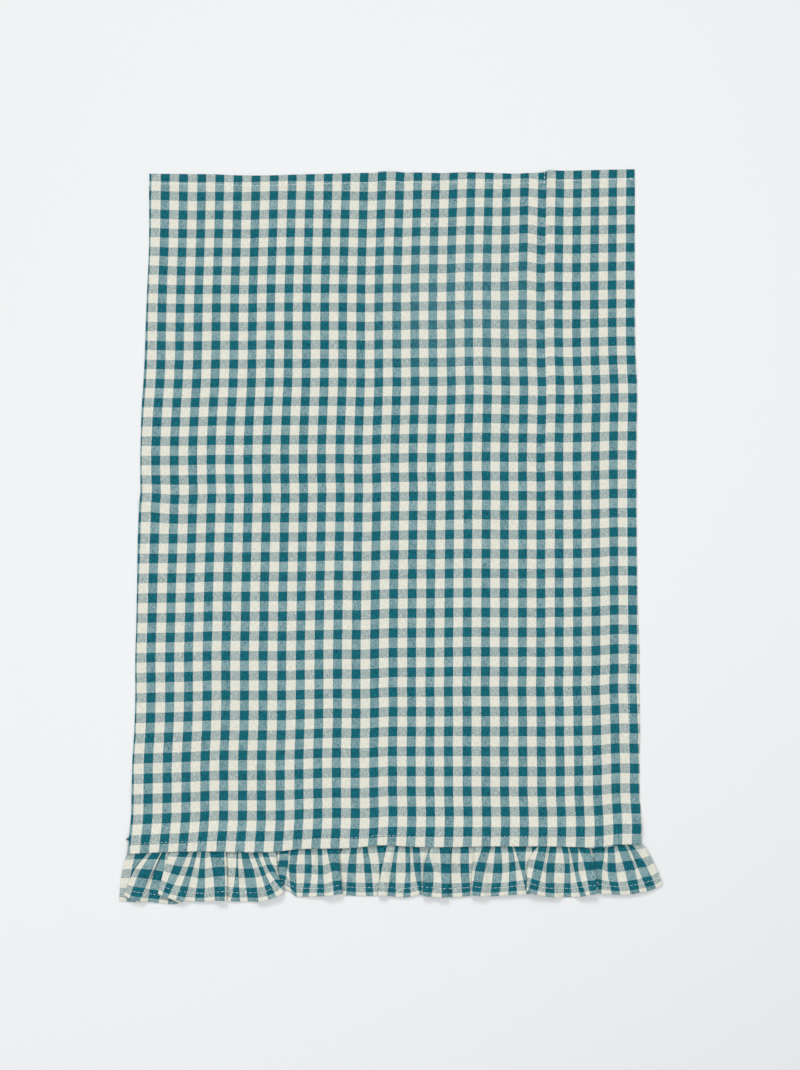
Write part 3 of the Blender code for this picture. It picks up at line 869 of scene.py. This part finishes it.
def stitchTree():
    # puts one rounded dash on a line at every pitch, turned along it
    tree = bpy.data.node_groups.new("runOfStitches", "GeometryNodeTree")
    numbers = [(name, "Float") for name in ("Pitch", "Length", "Thickness", "Unevenness")]
    for name, kind in [("Line", "Geometry")] + numbers + [("Thread", "Material")]:
        tree.interface.new_socket(name, in_out="INPUT", socket_type="NodeSocket" + kind)
    tree.interface.new_socket("Stitches", in_out="OUTPUT", socket_type="NodeSocketGeometry")
    entry = addNode(tree, "NodeGroupInput").outputs

    def made(kind, settings=None, **inputs):
        return addNode(tree, kind, settings, **inputs).outputs

    def calc(operation, first, second):
        return made("ShaderNodeMath", {"operation": operation}, in0=first, in1=second)[0]

    curve = made("GeometryNodeMeshToCurve", Mesh=entry["Line"])[0]
    spaced = made("GeometryNodeResampleCurve", {"mode": "LENGTH"}, Curve=curve, Length=entry["Pitch"])[0]
    along = made("GeometryNodeInputTangent")[0]
    turned = made("FunctionNodeAlignRotationToVector", {"axis": "X"}, Vector=along)[0]
    low, high = [calc(operation, 1.0, entry["Unevenness"]) for operation in ("SUBTRACT", "ADD")]
    # a random value's float sockets are the third and fourth inputs and the second output
    vary = made("FunctionNodeRandomValue", {"data_type": "FLOAT"}, in2=low, in3=high, Seed=4)[1]
    length = calc("MULTIPLY", entry["Length"], vary)
    size = made("ShaderNodeCombineXYZ", X=length, Y=entry["Thickness"], Z=entry["Thickness"])[0]
    dash = made("GeometryNodeMeshUVSphere", Segments=8, Rings=5, Radius=0.5)[0]
    placed = made("GeometryNodeInstanceOnPoints", Points=spaced, Instance=dash, Rotation=turned,
                  Scale=size)[0]
    real = made("GeometryNodeRealizeInstances", Geometry=placed)[0]
    smooth = made("GeometryNodeSetShadeSmooth", Geometry=real)[0]
    finished = made("GeometryNodeSetMaterial", Geometry=smooth, Material=entry["Thread"])[0]
    addNode(tree, "NodeGroupOutput", in0=finished)
    return tree


def meshAsMade(made):
    # what the modifiers or the curve's bevel make of an object, as a mesh of its own
    return bpy.data.meshes.new_from_object(made.evaluated_get(bpy.context.evaluated_depsgraph_get()))


def sewLines(name, lines, size, tree, thread):
    # lines: (points, normals, sunk) in mm along the cloth's middle; the thread lies on its upper side,
    # less what the seam draws it in
    places, edges = [], []
    for points, normals, sunk in lines:
        start = len(places)
        places += ((points + normals * (cloth["thickness"] / 2 + stitch["proud"] - sunk)) * mm).tolist()
        facesUp = normals[:, 2] > stitch["leastUpright"]
        edges += [(start + i, start + i + 1) for i in range(len(points) - 1) if facesUp[i] and facesUp[i + 1]]
    mesh = bpy.data.meshes.new(name)
    mesh.from_pydata(places, edges, [])
    piece = addObject(name, mesh)
    sewing = piece.modifiers.new("stitches", "NODES")
    sewing.node_group = tree
    values = {"Pitch": stitch["pitch"] * mm, "Length": size[0] * mm, "Thickness": size[1] * mm,
              "Unevenness": stitch["unevenness"], "Thread": thread}
    for item in tree.interface.items_tree:
        if item.in_out == "INPUT" and item.name in values:
            sewing[item.identifier] = values[item.name]
    made = meshAsMade(piece)
    piece.modifiers.clear()
    piece.data = made
    return piece


def cornerLine(row):
    # one row of the hem's few back-stitches near the top right corner
    start, end = np.array(stitch["cornerStart"]), np.array(stitch["cornerEnd"])
    plan = start + (end - start) * np.linspace(0, 1, 5)[:, None] + np.array(stitch["cornerStep"]) * row
    height = cloth["lowest"] + cloth["thickness"] / 2 + cloth["hemGap"] + stitch["cornerProud"]
    points = np.column_stack([plan, np.full(len(plan), height)])
    return points, np.tile([0.0, 0.0, 1.0], (len(plan), 1)), 0.0


def threadMaterial(name, finish, pattern, settings, tones, relief):
    # its tone and its relief both follow the pattern
    material, shader = newMaterial(name, *finish)
    tree = material.node_tree
    place = addNode(tree, "ShaderNodeTexCoord").outputs["Object"]
    share = addNode(tree, pattern, Vector=place, **settings).outputs["Fac"]
    tone = addNode(tree, "ShaderNodeValToRGB", Fac=share)
    for element, colour in zip(tone.color_ramp.elements, tones):
        element.color = toLinear(colour)
    bump = addNode(tree, "ShaderNodeBump", Strength=relief, Distance=0.1 * mm, Height=share)
    tree.links.new(tone.outputs[0], shader.inputs["Base Color"])
    tree.links.new(bump.outputs[0], shader.inputs["Normal"])
    return material


def sewingCotton():
    # soft two-ply cotton thread: matt, off-white, with its twist showing as fine slanting ridges
    slanting = {"wave_type": "BANDS", "bands_direction": "DIAGONAL"}
    twist = {"settings": slanting, "Scale": 420.0, "Distortion": 0.6}
    tones = "#E2ECEE", "#F6FCFD"
    return threadMaterial("sewingCotton", (0.7, 0.3), "ShaderNodeTexWave", twist, tones, relief=0.4)


def tealYarnAndShadow():
    # a few dyed yarns that worked loose, and the dark yarn laid along the tuck as a painted shadow: darker
    # than the cloth, fuzzy at the edges
    fleck = {"Scale": 1500.0, "Detail": 2.0}
    tones = "#0F4C58", "#3B7F8B"
    return threadMaterial("looseTealYarnAndShadow", (0.9, 0.1, 0.15), "ShaderNodeTexNoise", fleck, tones, relief=0.5)


def nubAndTuckShadow():
    curve = bpy.data.curves.new("looseThreads", "CURVE")
    curve.dimensions = "3D"
    curve.bevel_depth = loose["radius"] * mm
    curve.bevel_resolution = 1
    curve.resolution_u = 4
    curve.use_fill_caps = True
    # a dark yarn along the tuck's fold: a painted shadow
    tuckShadowYarn = tuckShadowPath + np.array([0.0, 0.0, loose["shadowYarnProud"]])
    for points in looseThreads + (tuckShadowYarn.tolist(),):
        spline = curve.splines.new("NURBS")
        spline.points.add(len(points) - 1)
        for point, (x, y, z) in zip(spline.points, points):
            point.co = (x * mm, y * mm, z * mm, 1.0)
        spline.order_u = 3
        spline.use_endpoint_u = True
    drawn = addObject("looseThreadsLine", curve)
    mesh = meshAsMade(drawn)
    bpy.data.objects.remove(drawn)
    mesh.materials.clear()
    mesh.materials.append(tealYarnAndShadow())
    mesh.shade_smooth()
    return addObject("looseThreads", mesh)


sewingTree, hemThread = stitchTree(), sewingCotton()
panelLines = panelStitchLines + [cornerLine(row) for row in range(stitch["cornerRows"])]
panelStitches = sewLines("panelStitches", panelLines, stitch["panel"], sewingTree, hemThread)
ruffleStitches = sewLines("ruffleStitches", ruffleStitchLines, stitch["ruffle"], sewingTree, hemThread)
# the frayed nub, with the dark yarn that paints the tuck's shadow
nubAndShadowYarn = nubAndTuckShadow()
print("stitches made:", len(panelStitches.data.polygons) + len(ruffleStitches.data.polygons), "faces")

yarn = {
    "darkDye": "#136472",
    "cream": "#E7E6D9",
    "creamWeftInDark": "#B0CACA",  # the cream weft between dark warps, darkened and tinted with painted shade where it lies recessed under them
    "darkWeftInCream": "#367A88",  # how the dark weft looks between cream warps
    # the pale tone of the painted sheen on the dark squares
    "faded": "#8FB7BE",
    "perRepeat": 40.0,  # yarns in a repeat, about 0.45 mm each
    "darkShare": 0.488,
    "stripeEdge": 0.012,  # repeats to both sides of a stripe's edge where it blends
    # painted sheen: one soft patch where the dark squares are painted paler, standing in for light reflected
    # off the cloth; middle and half sizes in m, strength
    "palePatch": ((0.070, 0.214, 0.0), (0.100, 0.088, 1.0), 0.13),
    "paleEdge": (0.25, 1.15),  # in half sizes, where it starts to fade and where it ends
    # unevenness: noise cells in a repeat across and down, start in the noise, and detail if not 1
    "warpSlubs": (34.0, 4.0, 3.0),
    "weftSlubs": (6.0, 30.0, 31.0),
    "speckles": ((8.0, 22.0, 57.0), (22.0, 8.0, 71.0)),
    "blotch": (1.1, 1.1, 83.0, 0.0),
    # how much each decides which yarn lies on top; pairs are for cream and for dark warps
    "weaveOnTop": 1.6,
    "warpSlubsOnTop": 3.4,
    "weftSlubsOnTop": -2.2,
    "speckleOnTop": 2.4,
    "warpOnTop": (-0.09, 0.0),
    "warpUneven": (0.2, 0.98),
    "topReach": 1.1,
    # how much each changes a yarn's tone
    "speckleTone": 0.65,
    "slubTone": 0.7,
    "toneUneven": (0.42, 1.8),  # in cream, and in dark squares
    "grooves": (0.9, 1.03),  # painted shade between the yarns, and painted light on them
    "relief": 0.35,
    "speckleRelief": 1.5,
}


def ginghamMaterial(name):
    # yarn-dyed cotton in plain weave: matt, each yarn round and a little uneven in thickness and dye,
    # the two colours crossing into a half tone, a soft fuzz at glancing angles
    material, shader = newMaterial(name, roughness=0.9, specular=0.12, sheen=0.04)
    tree = material.node_tree
    check = addNode(tree, "ShaderNodeUVMap", {"uv_map": "check"}).outputs["UV"]
    parts = addNode(tree, "ShaderNodeSeparateXYZ", Vector=check)
    u, v = parts.outputs["X"], parts.outputs["Y"]

    def calc(operation, first, second=0.0):
        return addNode(tree, "ShaderNodeMath", {"operation": operation}, in0=first, in1=second).outputs[0]

    def times(first, second):
        return calc("MULTIPLY", first, second)

    def plus(first, second):
        return calc("ADD", first, second)

    def vectorCalc(operation, **inputs):
        return addNode(tree, "ShaderNodeVectorMath", {"operation": operation}, **inputs).outputs

    def ranged(value, low, high, toLow, toHigh, kind="LINEAR"):
        return addNode(tree, "ShaderNodeMapRange", {"interpolation_type": kind}, Value=value, From_Min=low,
                       From_Max=high, To_Min=toLow, To_Max=toHigh).outputs["Result"]

    def uneven(acrossPerRepeat, downPerRepeat, offset, detail=1.0):
        # noise along the cloth, with its own size each way
        place = vectorCalc("MULTIPLY_ADD", in0=check, in1=(acrossPerRepeat, downPerRepeat, 1.0),
                           in2=(offset, offset * 0.7, 0.0))[0]
        node = addNode(tree, "ShaderNodeTexNoise", {"noise_dimensions": "2D"}, Vector=place, Scale=1.0,
                       Detail=detail)
        return calc("SUBTRACT", node.outputs[0], 0.5)

    def mixed(share, first, second):
        # a mix's colours are its seventh and eighth inputs and its third output
        node = addNode(tree, "ShaderNodeMix", {"data_type": "RGBA"}, in0=share, in6=first, in7=second)
        return node.outputs[2]

    def stripes(coordinate):
        # 1 on a dark stripe, 0 on a cream one, with an edge about one yarn wide
        away = calc("PINGPONG", plus(coordinate, 100.0), 0.5)
        edge, blend = yarn["darkShare"] / 2, yarn["stripeEdge"]
        return ranged(away, edge - blend, edge + blend, 1.0, 0.0)

    def byWarp(name):
        # a value that differs between cream and dark warps
        return ranged(warpDark, 0.0, 1.0, *yarn[name])

    warpDark, weftDark = stripes(u), stripes(v)
    # the dye, with a painted sheen: paler in one soft patch
    middle, halfSize, strength = yarn["palePatch"]
    here = addNode(tree, "ShaderNodeTexCoord").outputs["Object"]
    inSizes = vectorCalc("DIVIDE", in0=vectorCalc("SUBTRACT", in0=here, in1=middle)[0], in1=halfSize)[0]
    away = vectorCalc("LENGTH", in0=inSizes)["Value"]
    paintedSheenShare = ranged(away, *yarn["paleEdge"], strength, 0.0, "SMOOTHSTEP")
    dark = mixed(paintedSheenShare, toLinear(yarn["darkDye"]), toLinear(yarn["faded"]))
    cream = toLinear(yarn["cream"])
    warpColour = mixed(warpDark, cream, dark)
    # the cream weft here carries painted shade
    weftOnDark = mixed(weftDark, toLinear(yarn["creamWeftInDark"]), dark)
    weftOnCream = mixed(weftDark, cream, toLinear(yarn["darkWeftInCream"]))
    weftColour = mixed(warpDark, weftOnCream, weftOnDark)
    # which yarn lies on top, one over and one under, and by how much: thick places show more
    warpRound, weftRound = [calc("SINE", times(along, math.pi * yarn["perRepeat"])) for along in (u, v)]
    weave = times(warpRound, weftRound)
    warpSlubs, weftSlubs, blotch = [uneven(*yarn[name]) for name in ("warpSlubs", "weftSlubs", "blotch")]
    speckle = plus(*[uneven(*part) for part in yarn["speckles"]])
    slubs = plus(times(warpSlubs, yarn["warpSlubsOnTop"]), times(weftSlubs, yarn["weftSlubsOnTop"]))
    loosely = plus(times(speckle, yarn["speckleOnTop"]), blotch)
    unevenly = times(plus(slubs, loosely), byWarp("warpUneven"))
    evenly = plus(times(weave, yarn["weaveOnTop"]), byWarp("warpOnTop"))
    onTop = ranged(plus(evenly, unevenly), -yarn["topReach"], yarn["topReach"], 0.0, 1.0, "SMOOTHSTEP")
    colour = mixed(onTop, weftColour, warpColour)
    # dyed yarns vary more in tone than undyed ones
    darkness = calc("POWER", times(plus(warpDark, weftDark), 0.5), 2.0)
    fleck = plus(times(speckle, yarn["speckleTone"]), times(warpSlubs, yarn["slubTone"]))
    tone = plus(times(fleck, ranged(darkness, 0.0, 1.0, *yarn["toneUneven"])), 1.0)
    # painted shading: the colour darker between the yarns and lighter on their crowns
    grooves = ranged(calc("ABSOLUTE", weave), 0.0, 0.5, *yarn["grooves"])
    shaded = vectorCalc("SCALE", in0=colour, Scale=times(tone, grooves))
    tree.links.new(shaded[0], shader.inputs["Base Color"])
    height = plus(calc("ABSOLUTE", weave), times(speckle, yarn["speckleRelief"]))
    bump = addNode(tree, "ShaderNodeBump", Strength=yarn["relief"], Distance=0.2 * mm, Height=height)
    tree.links.new(bump.outputs["Normal"], shader.inputs["Normal"])
    return material


gingham = ginghamMaterial("yarnDyedGingham")
for piece in (panelCloth, ruffleCloth):
    piece.data.materials.append(gingham)
print("materials made")

# what each piece replaces or goes with
pieces = {"towel_panel": (panelCloth, panelStitches, nubAndShadowYarn), "ruffle": (ruffleCloth, ruffleStitches)}
for slot, group in pieces.items():
    for piece in group:
        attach(piece, "root")
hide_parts("towel_panel")
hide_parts("ruffle")
